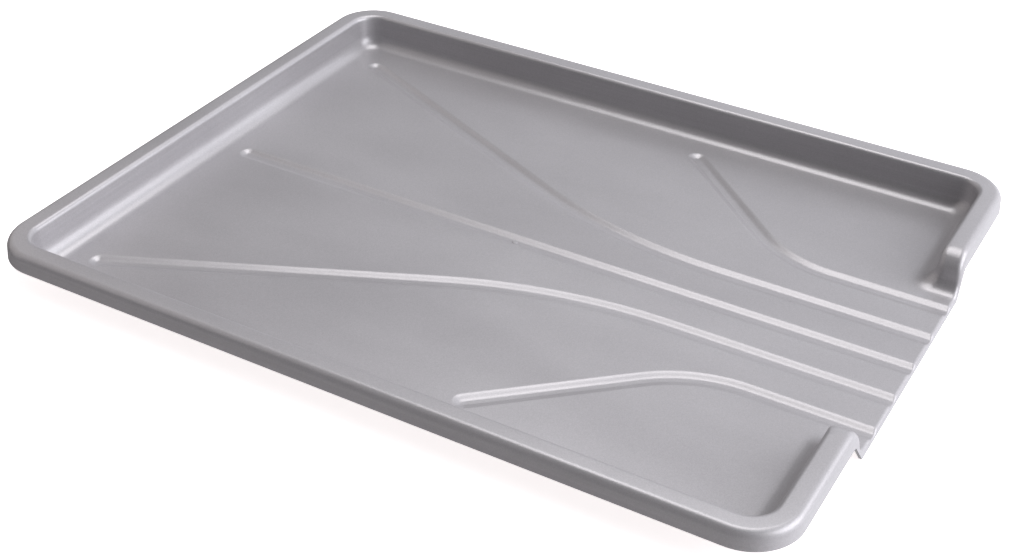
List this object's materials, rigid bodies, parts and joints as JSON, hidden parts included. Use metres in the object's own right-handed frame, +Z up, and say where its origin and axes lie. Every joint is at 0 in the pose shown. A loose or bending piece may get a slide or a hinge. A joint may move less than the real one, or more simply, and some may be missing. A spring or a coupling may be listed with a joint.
{
  "type": "drip tray",
  "caption": "Shallow rectangular drip tray with a rounded raised rim, a pouring mouth in one short side and floor channels that fan out from the mouth.",
  "frame": {"origin": "centre of the footprint, on the plane that the tray stands on", "axes": "+X out of the mouth and along the long sides, +Y across the tray, +Z up"},
  "size_m": [0.4738, 0.3736, 0.0256],
  "materials": {
    "silver_plastic": "satin silver-grey with a fine metallic flake"
  },
  "bodies": {
    "root": {"tray": "silver_plastic"}
  },
  "joints": []
}
